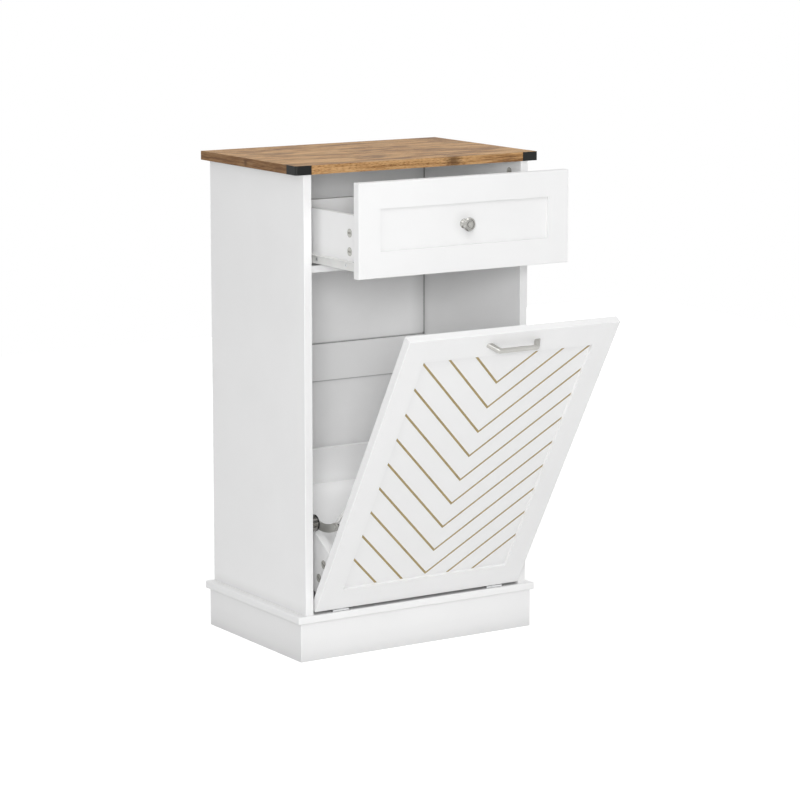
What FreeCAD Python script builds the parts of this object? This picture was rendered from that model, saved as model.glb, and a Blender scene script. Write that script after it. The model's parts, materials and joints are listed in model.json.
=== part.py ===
# Tilt-out cabinet for a waste bin: a white board case with a wood-print worktop,
# a drawer on roller slides above, and below it a door that tilts out on two butt
# hinges and carries a tray for the bin. Lengths are in millimetres, +Z is up and
# the front faces -Y. The origin is on the floor, at mid-width, on the back face of
# the plinth. The drawer stands pulled out and the door stands tilted out.
import FreeCAD, Part
import math
import os
import re
import Sketcher

V = FreeCAD.Vector

# Driving sizes: name, value, what it measures.
SIZES = [
    ("overall_height", 880, "floor to worktop surface"),
    ("board", 16, "case board thickness"),
    ("case_width", 472, "outer width over the side panels"),
    ("case_depth", 329, "depth of the side panels"),
    ("top_side_overhang", 17, "worktop outside the side panels"),
    ("top_front_overhang", 3.5, "worktop in front of the side panels"),
    ("back_overhang", 3, "worktop and base cap behind the side panels"),
    ("guard_leg", 31, "corner guard, length of each leg"),
    ("guard_thickness", 0.8, "corner guard sheet"),
    ("corner_radius", 3, "front corners of the worktop"),
    ("plinth_height", 69, "plinth boards"),
    ("plinth_outset", 10.5, "plinth outside the side panels"),
    ("plinth_front_outset", 0.7, "plinth in front of the side panels"),
    ("plinth_back_inset", 6, "plinth in front of the worktop's back edge"),
    ("cap_side_overhang", 17, "base cap outside the side panels"),
    ("cap_thickness", 14, "base cap"),
    ("cap_front_overhang", 5.5, "base cap in front of the side panels"),
    ("cap_round", 3, "rounding of the base cap's edges"),
    ("edge_round", 1, "rounding of board edges"),
    ("front_gap", 2.5, "gap round the drawer front and beside the door"),
    ("front_thickness", 16, "drawer front and door"),
    ("drawer_front_height", 164, "drawer front"),
    ("door_floor_gap", 4.5, "gap between base cap and door"),
    ("stile", 43.5, "frame width at the sides of both fronts"),
    ("door_rail", 47.5, "frame width at the top and bottom of the door"),
    ("drawer_frame_rail", 45.5, "frame width at the top and bottom of the drawer front"),
    ("recess_depth", 5, "sunk panel of both fronts"),
    ("chevron_pitch", 54.9, "vertical distance between the chevron lines"),
    ("chevron_drop", 67, "first chevron's point below the top of the recess"),
    ("chevron_width", 4, "width of a chevron line"),
    ("chevron_depth", 1, "depth of the chevron grooves and inlay"),
    ("chevron_count", 11, "number of chevron lines"),
    ("door_tilt", 30.4, "angle of the open door, degrees"),
    ("drawer_open", 150, "distance that the drawer is pulled out"),
    ("back_rail_low", 439, "underside of the back rail"),
    ("back_rail_height", 69, "back rail"),
    ("back_panel", 3, "hardboard back panels"),
    ("groove_depth", 6, "grooves for the back panels"),
    ("groove_play", 0.4, "spare width and depth in every groove"),
    ("groove_setback", 9, "groove in front of the side panels' back edge"),
    ("rail_thickness", 12, "rail between drawer and door"),
    ("rail_depth", 60, "rail, front to back"),
    ("rail_setback", 2, "rail behind the fronts"),
    ("cam_diameter", 15, "cam locks"),
    ("cam_length", 9, "cam locks"),
    ("cam_play", 0.1, "radial play of a cam lock in its hole"),
    ("cam_slot_width", 2.4, "screwdriver slot in a cam lock"),
    ("cam_slot_length", 9, "screwdriver slot in a cam lock"),
    ("cam_slot_depth", 1.6, "screwdriver slot in a cam lock"),
    ("cam_setback", 34, "cam locks from the edge of their board"),
    ("cam_spacing", 32, "distance between two cam locks"),
    ("case_cam_drop", 22, "case cam locks below the worktop"),
    ("case_cam_setback", 37, "case cam locks from the panel edges"),
    ("drawer_side_gap", 15, "room for a slide beside the drawer box"),
    ("drawer_floor_gap", 6.25, "drawer box above the rail"),
    ("drawer_board", 12, "drawer sides and back"),
    ("drawer_side_height", 94.5, "drawer sides"),
    ("drawer_length", 280, "drawer sides"),
    ("drawer_bottom_rise", 8, "drawer bottom above the sides' lower edge"),
    ("drawer_bottom_sheet", 3, "drawer bottom"),
    ("drawer_groove_depth", 4, "groove for the drawer bottom"),
    ("slide_sheet", 1.2, "steel sheet of the slides"),
    ("slide_length", 274, "both slide members"),
    ("slide_setback", 3, "slides behind the fronts"),
    ("slide_lift", 1.25, "case slide above the rail"),
    ("slide_flange", 11, "flanges of the case slide"),
    ("slide_rise", 15.5, "drawer slide above the drawer's lower edge"),
    ("slide_lip", 10, "outer flange of the drawer slide"),
    ("slide_foot", 11, "drawer slide under the drawer side"),
    ("roller_width", 7, "slide rollers"),
    ("roller_inset", 3, "slide rollers from the side panels"),
    ("roller_play", 0.3, "gap between a roller and its track"),
    ("case_roller_radius", 8, "front roller, on the case slide"),
    ("drawer_roller_radius", 7, "rear roller, on the drawer slide"),
    ("case_roller_setback", 12, "front roller behind the slide's front end"),
    ("drawer_roller_setback", 10, "rear roller in front of the slide's back end"),
    ("axle_radius", 2, "roller axles"),
    ("axle_play", 0.05, "radial play on every axle and pin"),
    ("axle_end", 1, "roller axles beyond their rollers"),
    ("slide_notch", 2, "clear length in front of the upper flange, behind the front roller"),
    ("knob_projection", 19.5, "knob"),
    ("knob_radius", 12, "knob head"),
    ("knob_base_radius", 8.5, "knob base"),
    ("knob_neck_radius", 5, "knob neck"),
    ("knob_ring_radius", 8.6, "groove in the knob's face, outer edge"),
    ("knob_boss_radius", 5.2, "raised middle of the knob's face"),
    ("knob_ring_depth", 1.4, "groove in the knob's face"),
    ("screw_radius", 2, "knob and handle screws"),
    ("screw_play", 0.2, "radial play of a screw in its hole"),
    ("screw_head_radius", 4, "knob and handle screws"),
    ("screw_head_height", 2.2, "knob and handle screws"),
    ("screw_bite", 5, "screw length inside the knob or the handle"),
    ("screw_spare", 0.5, "screw hole deeper than the screw"),
    ("handle_spacing", 96, "distance between the handle's holes"),
    ("handle_projection", 20.5, "handle, front of the bar from the door"),
    ("handle_bar", 6.5, "handle bar, front to back"),
    ("handle_height", 8, "handle, top to bottom"),
    ("handle_foot", 12, "handle feet along the door"),
    ("handle_foot_outside", 7, "handle feet outside their screw holes"),
    ("handle_front_inset", 6.5, "ends of the handle's front inside its screw holes"),
    ("handle_back_inset", 13, "ends of the finger gap inside the screw holes"),
    ("handle_bend", 7, "outer bends of the handle"),
    ("handle_round", 2, "rounding along the handle"),
    ("hinge_inset", 52.5, "middle of a hinge inside the door's side edge"),
    ("hinge_width", 33, "hinges"),
    ("hinge_forward", 0.8, "hinge axis in front of the door's face"),
    ("hinge_knuckle_radius", 2.1, "hinge knuckles"),
    ("hinge_knuckle_length", 10.5, "middle knuckle"),
    ("hinge_pin_radius", 1, "hinge pins"),
    ("hinge_leaf", 1, "hinge leaf sheet"),
    ("hinge_leaf_depth", 25, "case leaf"),
    ("hinge_door_leaf_depth", 14, "door leaf"),
    ("hinge_end_play", 0.3, "gap between knuckles"),
    ("hinge_notch", 2.7, "leaf edge behind the hinge axis, beside the other knuckles"),
    ("tray_inset", 23.5, "tray inside the door's edges"),
    ("tray_lift", 2.5, "tray above the door's lower edge"),
    ("tray_length", 290, "tray sides"),
    ("tray_side_height", 94, "tray sides"),
    ("tray_wall", 4, "tray back wall"),
    ("tray_wall_height", 103, "tray back wall"),
    ("stay_back", 33, "stay post behind the side panels' front edge"),
    ("stay_height", 241, "stay post above the floor"),
    ("stay_drum_radius", 14.5, "stay housing"),
    ("stay_drum_length", 22, "stay housing"),
    ("stay_ring", 2, "friction ring, thickness"),
    ("stay_ring_margin", 0.5, "friction ring outside the housing"),
    ("stay_pin_radius", 2.5, "stay post pin"),
    ("stay_head_radius", 7, "head of the stay post pin"),
    ("stay_head", 1.5, "head of the stay post pin, thickness"),
    ("stay_sheet", 2.5, "sheet of the stay arm and its bracket"),
    ("stay_side_play", 0.3, "gap between the stay's layers"),
    ("stay_arm_length", 66, "stay arm, from the post pin to its rivet"),
    ("stay_arm_rise", 4, "slope of the open stay arm, degrees"),
    ("stay_arm_sag", 6, "bow of the stay arm"),
    ("stay_arm_width", 15, "stay arm"),
    ("stay_hub_radius", 11, "stay arm round the post pin"),
    ("stay_swing", 81.6, "angle of the stay arm's travel, degrees"),
    ("rivet_radius", 3, "rivet at the end of the stay arm"),
    ("rivet_head_radius", 4.5, "rivet heads"),
    ("rivet_head", 1.2, "rivet heads, thickness"),
    ("slot_play", 0.3, "gap between the rivet and its slot"),
    ("slot_wall", 5, "bracket beside its slot"),
    ("bracket_low", 17, "bracket's foot above the open end of its slot"),
    ("bracket_flange", 20, "bracket's screw flange"),
]

doc = FreeCAD.newDocument("TiltOutCabinet")
sheet = doc.addObject("Spreadsheet::Sheet", "Sizes")
for row, (alias, value, note) in enumerate(SIZES, start=1):
    sheet.set("A%d" % row, alias)
    sheet.set("B%d" % row, str(value))
    sheet.set("C%d" % row, note)
    sheet.setAlias("B%d" % row, alias)
doc.recompute()
NAMES = set(alias for alias, value, note in SIZES)


def bind(text):
    """Write an expression of size names as one that reads the sheet."""
    return re.sub(r"[a-z_]+", lambda m: "Sizes." + m.group(0) if m.group(0) in NAMES else m.group(0), text)


def num(text):
    """Present value of an expression of size names."""
    return float(sheet.evalExpression(bind(text)))


# Levels and planes of the cabinet, as expressions of the sizes.
FRONT = "(plinth_back_inset - back_overhang - case_depth)"
SIDE_BACK = "(plinth_back_inset - back_overhang)"
CAP_TOP = "(plinth_height + cap_thickness)"
TOP_UNDER = "(overall_height - board)"
INNER = "(case_width / 2 - board)"
FRONT_HALF = f"({INNER} - front_gap)"
PLINTH_HALF = "(case_width / 2 + plinth_outset)"
TOP_HALF = "(case_width / 2 + top_side_overhang)"
CAP_HALF = "(case_width / 2 + cap_side_overhang)"
DRAWER_LOW = f"({TOP_UNDER} - front_gap - drawer_front_height)"
DOOR_LOW = f"({CAP_TOP} + door_floor_gap)"
DOOR_HIGH = f"({DRAWER_LOW} - front_gap)"
RAIL_LOW = f"({DRAWER_LOW} - front_gap / 2 - rail_thickness / 2)"
RAIL_TOP = f"({RAIL_LOW} + rail_thickness)"
FRONTS_BACK = f"({FRONT} + front_thickness)"
GROOVE_BACK = f"({SIDE_BACK} - groove_setback)"
GROOVE_FRONT = f"({GROOVE_BACK} - back_panel - groove_play)"
BOX_OUT = f"({INNER} - drawer_side_gap)"
BOX_LOW = f"({RAIL_TOP} + drawer_floor_gap)"
SLIDE_FRONT = f"({FRONTS_BACK} + slide_setback)"
SLIDE_LOW = f"({RAIL_TOP} + slide_lift)"
SLIDE_HEIGHT = "(2 * slide_sheet + 2 * roller_play + 2 * drawer_roller_radius)"
LIP_UNDER = f"({BOX_LOW} + slide_rise - slide_sheet)"
CASE_ROLLER_Z = f"({LIP_UNDER} - roller_play - case_roller_radius)"
DRAWER_ROLLER_Z = f"({SLIDE_LOW} + slide_sheet + roller_play + drawer_roller_radius)"
DRAWER_ROLLER_Y = f"({SLIDE_FRONT} + slide_length - drawer_roller_setback)"
HINGE_X = f"(hinge_inset - {FRONT_HALF})"
HINGE_Y = f"({FRONT} - hinge_forward)"
HINGE_Z = f"({CAP_TOP} + door_floor_gap / 2)"
TRAY_OUT = f"({FRONT_HALF} - tray_inset)"
TRAY_LOW = f"({DOOR_LOW} + tray_lift)"
ARM_START = "(stay_drum_length + stay_ring + stay_side_play)"
HEAD_START = f"({ARM_START} + stay_sheet + stay_side_play)"
BRACKET_START = f"({HEAD_START} + stay_head + stay_side_play)"
RIVET_END = f"({BRACKET_START} + stay_sheet + stay_side_play)"

# Where the moving groups stand: the drawer is pulled out, the door is tilted about its hinges.
STILL = ""
FLAT = "rotation(vector(1; 0; 0); 0)"
DRAWER = f"placement(vector(0; -drawer_open; 0); {FLAT}) * "
DOOR = (f"placement(vector(0; {HINGE_Y}; {HINGE_Z}); rotation(vector(1; 0; 0); door_tilt)) * "
        f"placement(vector(0; -{HINGE_Y}; -{HINGE_Z}); {FLAT}) * ")
FACING_FRONT = "rotation(vector(0; 0; 1); -90)"

nodes = []


def place(thing, low, move=STILL, turn=FLAT):
    """Bind a piece's Placement to the sizes."""
    thing.setExpression("Placement", bind(f"{move}placement(vector({low[0]}; {low[1]}; {low[2]}); {turn})"))


def new_body(label):
    body = doc.addObject("PartDesign::Body", label)
    body.Label = label
    body.AllowCompound = True
    nodes.append(body)
    return body


def new_sketch(body, role, offset="0"):
    """Empty sketch on one of the body's own planes, moved along the plane's normal by offset."""
    sketch = body.newObject("Sketcher::SketchObject", body.Name + "_sketch")
    planes = [item for item in body.Origin.OriginFeatures if item.Role == role]
    sketch.AttachmentSupport = [(planes[0], "")]
    sketch.MapMode = "FlatFace"
    if offset != "0":
        sketch.setExpression("AttachmentOffset.Base.z", bind(offset))
    return sketch


def tie(sketch, geometry, point, x, y):
    """Fix one point of a sketch to the sketch origin by two bound dimensions."""
    for kind, axis, text in (("DistanceX", -2, x), ("DistanceY", -1, y)):
        if text == "0":
            sketch.addConstraint(Sketcher.Constraint("PointOnObject", geometry, point, axis))
        else:
            rule = Sketcher.Constraint(kind, -1, 1, geometry, point, num(text))
            sketch.setExpression("Constraints[%d]" % sketch.addConstraint(rule), bind(text))


def add_polygon(sketch, points):
    """Closed outline whose corners are expressions of the sizes."""
    first = sketch.GeometryCount
    corners = [V(num(x), num(y), 0) for x, y in points]
    count = len(points)
    for i in range(count):
        sketch.addGeometry(Part.LineSegment(corners[i], corners[(i + 1) % count]), False)
    for i in range(count):
        sketch.addConstraint(Sketcher.Constraint("Coincident", first + i, 2, first + (i + 1) % count, 1))
    for i, (x, y) in enumerate(points):
        tie(sketch, first + i, 1, x, y)


def add_rectangle(sketch, x0, y0, x1, y1):
    add_polygon(sketch, [(x0, y0), (x1, y0), (x1, y1), (x0, y1)])


def add_circle(sketch, x, y, radius):
    index = sketch.addGeometry(Part.Circle(V(num(x), num(y), 0), V(0, 0, 1), num(radius)), False)
    tie(sketch, index, 3, x, y)
    rule = Sketcher.Constraint("Radius", index, num(radius))
    sketch.setExpression("Constraints[%d]" % sketch.addConstraint(rule), bind(radius))


def add_curves(sketch, curves):
    """Lines and arcs worked out from the sizes, held where they are."""
    for curve in curves:
        index = sketch.addGeometry(curve, False)
        sketch.addConstraint(Sketcher.Constraint("Block", index))


def pad(body, sketch, length, backwards=False):
    feature = body.newObject("PartDesign::Pad", body.Name + "_pad")
    feature.Profile = sketch
    feature.setExpression("Length", bind(length))
    feature.Reversed = backwards
    return feature


def pocket(body, sketch, depth=None, backwards=False):
    """Cut against the sketch's normal, or along it with backwards; without a depth, right through."""
    feature = body.newObject("PartDesign::Pocket", body.Name + "_pocket")
    feature.Profile = sketch
    if depth is None:
        feature.Type = "ThroughAll"
    else:
        feature.setExpression("Length", bind(depth))
    feature.Reversed = backwards
    return feature


def revolve(body, points):
    """Turn an outline of (along X, radius) points about the body's X axis."""
    sketch = new_sketch(body, "XY_Plane")
    add_polygon(sketch, points)
    feature = body.newObject("PartDesign::Revolution", body.Name + "_turned")
    feature.Profile = sketch
    feature.ReferenceAxis = (sketch, ["H_Axis"])
    feature.Angle = 360
    return feature


def edges_of(feature, chosen):
    """Names of the straight edges whose middle point and direction pass a test."""
    doc.recompute()
    names = []
    for number, edge in enumerate(feature.Shape.Edges, start=1):
        if edge.Curve.TypeId == "Part::GeomLine":
            ends = [vertex.Point for vertex in edge.Vertexes]
            along = (ends[1] - ends[0]).normalize()
            if chosen((ends[0] + ends[1]) * 0.5, along):
                names.append("Edge%d" % number)
    return names


def fillet(body, feature, radius, chosen):
    rounding = body.newObject("PartDesign::Fillet", body.Name + "_fillet")
    rounding.Base = (feature, edges_of(feature, chosen))
    rounding.setExpression("Radius", bind(radius))
    return rounding


def board(label, low, size, move=STILL):
    """Rectangular board from its low corner and its three sizes."""
    body = new_body(label)
    sketch = new_sketch(body, "XY_Plane")
    add_rectangle(sketch, "0", "0", size[0], size[1])
    pad(body, sketch, size[2])
    place(body, low, move)
    return body


def mirrored(source, label):
    """Right-hand piece as the mirror image of the left-hand one."""
    piece = doc.addObject("Part::Mirroring", label)
    piece.Label = label
    piece.Source = source
    piece.Normal = V(1, 0, 0)
    piece.Base = V(0, 0, 0)
    nodes.append(piece)
    return piece


def near(a, b):
    return abs(a - b) < 1e-4


def cam_holes(body, places, at, backwards):
    """Blind holes for cam locks in a board's side face."""
    sketch = new_sketch(body, "YZ_Plane", at)
    for y, z in places:
        add_circle(sketch, y, z, "cam_diameter / 2 + cam_play")
    pocket(body, sketch, "cam_length", backwards)


def cam_locks(label, places, low, move, faces_left):
    """Slotted cam locks that fill those holes, one solid each."""
    body = new_body(label)
    outline = new_sketch(body, "YZ_Plane")
    slots = new_sketch(body, "YZ_Plane")
    for y, z in places:
        add_circle(outline, y, z, "cam_diameter / 2")
        add_rectangle(slots, f"{y} - cam_slot_length / 2", f"{z} - cam_slot_width / 2",
                      f"{y} + cam_slot_length / 2", f"{z} + cam_slot_width / 2")
    pad(body, outline, "cam_length", not faces_left)
    pocket(body, slots, "cam_slot_depth", faces_left)
    place(body, low, move)
    return body


# Case: worktop with its corner guards.
top = board("top_panel", (f"-{TOP_HALF}", f"{FRONT} - top_front_overhang", TOP_UNDER),
            (f"2 * {TOP_HALF}", "case_depth + top_front_overhang + back_overhang", "board"))
fillet(top, top.Tip, "corner_radius", lambda p, d: abs(d.z) > 0.9 and near(p.y, 0))

guard = new_body("corner_guard_left")
sketch = new_sketch(guard, "XY_Plane")
add_polygon(sketch, [("-guard_thickness", "-guard_thickness"), ("guard_leg", "-guard_thickness"),
                     ("guard_leg", "0"), ("0", "0"), ("0", "guard_leg"),
                     ("-guard_thickness", "guard_leg")])
pad(guard, sketch, "board")
fillet(guard, guard.Tip, "corner_radius", lambda p, d: abs(d.z) > 0.9 and near(p.x, 0) and near(p.y, 0))
fillet(guard, guard.Tip, "corner_radius + guard_thickness",
       lambda p, d: abs(d.z) > 0.9 and p.x < -1e-4 and p.y < -1e-4)
place(guard, (f"-{TOP_HALF}", f"{FRONT} - top_front_overhang", TOP_UNDER))
mirrored(guard, "corner_guard_right")

# Case: side panels with their back groove and cam holes.
SIDE_HEIGHT = f"({TOP_UNDER} - {CAP_TOP})"
side = board("side_panel_left", ("-case_width / 2", FRONT, CAP_TOP), ("board", "case_depth", SIDE_HEIGHT))
fillet(side, side.Tip, "edge_round", lambda p, d: abs(d.z) > 0.9 and near(p.y, 0))
sketch = new_sketch(side, "XY_Plane")
add_rectangle(sketch, "board - groove_depth", f"{GROOVE_FRONT} - {FRONT}",
              "board", f"{GROOVE_BACK} - {FRONT}")
pocket(side, sketch, None, True)
case_cams = [("case_cam_setback", f"{SIDE_HEIGHT} - case_cam_drop"),
             ("case_depth - case_cam_setback", f"{SIDE_HEIGHT} - case_cam_drop")]
cam_holes(side, case_cams, "board", False)
mirrored(side, "side_panel_right")
cams = cam_locks("case_cams_left", case_cams, (f"-{INNER}", FRONT, CAP_TOP), STILL, False)
mirrored(cams, "case_cams_right")

# Case: base cap and plinth.
cap = board("base_cap", (f"-{CAP_HALF}", f"{FRONT} - cap_front_overhang", "plinth_height"),
            (f"2 * {CAP_HALF}", "case_depth + cap_front_overhang + back_overhang", "cap_thickness"))
fillet(cap, cap.Tip, "cap_round", lambda p, d: near(p.y, 0) or abs(d.y) > 0.9)
plinth_front = board("plinth_front", (f"-{PLINTH_HALF}", f"{FRONT} - plinth_front_outset", "0"),
                     (f"2 * {PLINTH_HALF}", "board", "plinth_height"))
fillet(plinth_front, plinth_front.Tip, "edge_round", lambda p, d: abs(d.z) > 0.9 and near(p.y, 0))
plinth = board("plinth_left", (f"-{PLINTH_HALF}", f"{FRONT} - plinth_front_outset + board", "0"),
               ("board", f"-{FRONT} + plinth_front_outset - board", "plinth_height"))
mirrored(plinth, "plinth_right")
board("plinth_back", (f"-{PLINTH_HALF} + board", "-board", "0"),
      (f"2 * {PLINTH_HALF} - 2 * board", "board", "plinth_height"))

# Case: back rail, grooved above and below for the two hardboard back panels.
rail = board("back_rail", (f"-{INNER}", f"{SIDE_BACK} - board", "back_rail_low"),
             (f"2 * {INNER}", "board", "back_rail_height"))
sketch = new_sketch(rail, "YZ_Plane")
rail_groove = ("board - groove_setback - back_panel - groove_play", "board - groove_setback")
add_rectangle(sketch, rail_groove[0], "0", rail_groove[1], "groove_depth")
add_rectangle(sketch, rail_groove[0], "back_rail_height - groove_depth", rail_groove[1], "back_rail_height")
pocket(rail, sketch, None, True)
PANEL_HALF = f"({INNER} + groove_depth - groove_play)"
PANEL_FRONT = f"({GROOVE_FRONT} + groove_play / 2)"
UPPER_LOW = "(back_rail_low + back_rail_height - groove_depth + groove_play)"
board("back_panel_upper", (f"-{PANEL_HALF}", PANEL_FRONT, UPPER_LOW),
      (f"2 * {PANEL_HALF}", "back_panel", f"{TOP_UNDER} - {UPPER_LOW}"))
board("back_panel_lower", (f"-{PANEL_HALF}", PANEL_FRONT, CAP_TOP),
      (f"2 * {PANEL_HALF}", "back_panel", f"back_rail_low + groove_depth - groove_play - {CAP_TOP}"))

# Case: rail between the drawer and the door.
board("drawer_rail", (f"-{INNER}", f"{FRONTS_BACK} + rail_setback", RAIL_LOW),
      (f"2 * {INNER}", "rail_depth", "rail_thickness"))

# Case: slide channel with the front roller's axle, its upper flange cut back for the roller.
channel = new_body("slide_case_left")
sketch = new_sketch(channel, "XZ_Plane")
add_polygon(sketch, [("0", "0"), ("slide_flange", "0"), ("slide_flange", "slide_sheet"),
                     ("slide_sheet", "slide_sheet"), ("slide_sheet", f"{SLIDE_HEIGHT} - slide_sheet"),
                     ("slide_flange", f"{SLIDE_HEIGHT} - slide_sheet"),
                     ("slide_flange", SLIDE_HEIGHT), ("0", SLIDE_HEIGHT)])
pad(channel, sketch, "slide_length", True)
sketch = new_sketch(channel, "XY_Plane", f"{SLIDE_HEIGHT} - slide_sheet")
add_rectangle(sketch, "slide_sheet", "0",
              "slide_flange", "case_roller_setback + case_roller_radius + slide_notch")
pocket(channel, sketch, None, True)
sketch = new_sketch(channel, "YZ_Plane", "slide_sheet")
add_circle(sketch, "case_roller_setback", f"{CASE_ROLLER_Z} - {SLIDE_LOW}", "axle_radius")
pad(channel, sketch, "roller_inset + roller_width + axle_end - slide_sheet")
place(channel, (f"-{INNER}", SLIDE_FRONT, SLIDE_LOW))
mirrored(channel, "slide_case_right")

# Drawer slide: a sheet section round the drawer side's lower edge, with the rear roller's axle.
runner = new_body("slide_drawer_left")
sketch = new_sketch(runner, "XZ_Plane")
add_polygon(sketch, [("-slide_sheet", "-slide_sheet"), ("slide_foot", "-slide_sheet"), ("slide_foot", "0"),
                     ("0", "0"), ("0", "slide_rise"), ("-slide_lip", "slide_rise"),
                     ("-slide_lip", "slide_rise - slide_sheet"),
                     ("-slide_sheet", "slide_rise - slide_sheet")])
pad(runner, sketch, "slide_length", True)
sketch = new_sketch(runner, "YZ_Plane", "-slide_sheet")
add_circle(sketch, "slide_length - drawer_roller_setback", f"{DRAWER_ROLLER_Z} - {BOX_LOW}", "axle_radius")
pad(runner, sketch, "drawer_side_gap - slide_sheet - roller_inset + axle_end", True)
place(runner, (f"-{BOX_OUT}", SLIDE_FRONT, BOX_LOW), DRAWER)
mirrored(runner, "slide_drawer_right")


def roller(label, radius, low, move):
    """Slide roller with chamfered rims, bored for its axle."""
    body = new_body(label)
    bore = "axle_radius + axle_play"
    revolve(body, [("0", bore), ("roller_width", bore), ("roller_width", f"{radius} - edge_round"),
                   ("roller_width - edge_round", radius), ("edge_round", radius),
                   ("0", f"{radius} - edge_round")])
    place(body, low, move)
    return body


ROLLER_X = f"(-{INNER} + roller_inset)"
wheel = roller("slide_case_roller_left", "case_roller_radius",
               (ROLLER_X, f"{SLIDE_FRONT} + case_roller_setback", CASE_ROLLER_Z), STILL)
mirrored(wheel, "slide_case_roller_right")
wheel = roller("slide_drawer_roller_left", "drawer_roller_radius",
               (ROLLER_X, DRAWER_ROLLER_Y, DRAWER_ROLLER_Z), DRAWER)
mirrored(wheel, "slide_drawer_roller_right")


def framed_front(label, height, rail, low, move):
    """Front board with a sunk panel and rounded outer edges."""
    body = board(label, low, (f"2 * {FRONT_HALF}", "front_thickness", height), move)
    fillet(body, body.Tip, "edge_round", lambda p, d: near(p.y, 0))
    sketch = new_sketch(body, "XZ_Plane")
    add_rectangle(sketch, "stile", rail, f"2 * {FRONT_HALF} - stile", f"{height} - {rail}")
    pocket(body, sketch, "recess_depth")
    return body


def screw_holes(body, places):
    sketch = new_sketch(body, "XZ_Plane")
    for x, z in places:
        add_circle(sketch, x, z, "screw_radius + screw_play")
    pocket(body, sketch)


# Drawer: front with its knob, two sides, back and bottom.
drawer_front = framed_front("drawer_front", "drawer_front_height", "drawer_frame_rail",
                            (f"-{FRONT_HALF}", FRONT, DRAWER_LOW), DRAWER)
screw_holes(drawer_front, [(FRONT_HALF, "drawer_front_height / 2")])
KNOB_Z = f"({DRAWER_LOW} + drawer_front_height / 2)"
knob = new_body("drawer_knob")
P = "knob_projection"
SCREW_HOLE = "(screw_bite + screw_spare)"
THREAD = "(screw_radius + axle_play)"
revolve(knob, [("0", THREAD), ("0", "knob_base_radius"), (f"{P} * 0.12", "knob_base_radius"),
               (f"{P} * 0.32", "knob_neck_radius"), (f"{P} * 0.5", "knob_neck_radius"),
               (f"{P} * 0.72", "knob_radius * 0.94"), (f"{P} * 0.8", "knob_radius"),
               (f"{P} * 0.88", "knob_radius"), (P, "knob_radius * 0.84"), (P, "knob_ring_radius"),
               (f"{P} - knob_ring_depth", "knob_ring_radius - knob_ring_depth / 2"),
               (f"{P} - knob_ring_depth", "knob_boss_radius"),
               (f"{P} - knob_ring_depth / 4", "knob_boss_radius * 0.9"), (f"{P} - knob_ring_depth / 4", "0"),
               (SCREW_HOLE, "0"), (SCREW_HOLE, THREAD)])
place(knob, ("0", f"{FRONT} + recess_depth", KNOB_Z), DRAWER, FACING_FRONT)


def machine_screws(label, places, length, low, move):
    """Pan-head screws put in from the back of a front, pointing to the front."""
    body = new_body(label)
    heads = new_sketch(body, "XZ_Plane")
    shanks = new_sketch(body, "XZ_Plane")
    for x, z in places:
        add_circle(heads, x, z, "screw_head_radius")
        add_circle(shanks, x, z, "screw_radius")
    pad(body, shanks, length)
    pad(body, heads, "screw_head_height", True)
    place(body, low, move)
    return body


machine_screws("knob_screw", [("0", "0")], "front_thickness - recess_depth + screw_bite",
               ("0", FRONTS_BACK, KNOB_Z), DRAWER)

drawer_side = board("drawer_side_left", (f"-{BOX_OUT}", FRONTS_BACK, BOX_LOW),
                    ("drawer_board", "drawer_length", "drawer_side_height"), DRAWER)
fillet(drawer_side, drawer_side.Tip, "edge_round", lambda p, d: abs(d.y) > 0.9 and p.z > 1)
sketch = new_sketch(drawer_side, "XZ_Plane")
BOTTOM_SLOT = "(drawer_bottom_rise + drawer_bottom_sheet + groove_play)"
add_rectangle(sketch, "drawer_board - drawer_groove_depth", "drawer_bottom_rise", "drawer_board", BOTTOM_SLOT)
pocket(drawer_side, sketch)
drawer_cams = [("cam_setback", "drawer_side_height / 2 - cam_spacing / 2"),
               ("cam_setback", "drawer_side_height / 2 + cam_spacing / 2")]
cam_holes(drawer_side, drawer_cams, "0", True)
mirrored(drawer_side, "drawer_side_right")
cams = cam_locks("drawer_cams_left", drawer_cams, (f"-{BOX_OUT}", FRONTS_BACK, BOX_LOW), DRAWER, True)
mirrored(cams, "drawer_cams_right")
BOX_INNER = f"({BOX_OUT} - drawer_board)"
drawer_back = board("drawer_back",
                    (f"-{BOX_INNER}", f"{FRONTS_BACK} + drawer_length - drawer_board", BOX_LOW),
                    (f"2 * {BOX_INNER}", "drawer_board", "drawer_side_height"), DRAWER)
fillet(drawer_back, drawer_back.Tip, "edge_round", lambda p, d: abs(d.x) > 0.9 and p.z > 1)
sketch = new_sketch(drawer_back, "YZ_Plane")
add_rectangle(sketch, "0", "drawer_bottom_rise", "drawer_groove_depth", BOTTOM_SLOT)
pocket(drawer_back, sketch, None, True)
BOTTOM_HALF = f"({BOX_INNER} + drawer_groove_depth - groove_play)"
board("drawer_bottom", (f"-{BOTTOM_HALF}", FRONTS_BACK, f"{BOX_LOW} + drawer_bottom_rise"),
      (f"2 * {BOTTOM_HALF}", "drawer_length - drawer_board + drawer_groove_depth - groove_play",
       "drawer_bottom_sheet"), DRAWER)

# Door: framed panel, cut with grooves that the chevron inlay fills.
DOOR_HEIGHT = f"({DOOR_HIGH} - {DOOR_LOW})"
HANDLE_Z = f"({DOOR_HEIGHT} - door_rail / 2)"
door_blank = framed_front("door_blank", DOOR_HEIGHT, "door_rail", (f"-{FRONT_HALF}", FRONT, DOOR_LOW), DOOR)
nodes.remove(door_blank)
handle_holes = [(f"{FRONT_HALF} - handle_spacing / 2", HANDLE_Z),
                (f"{FRONT_HALF} + handle_spacing / 2", HANDLE_Z)]
screw_holes(door_blank, handle_holes)


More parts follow.
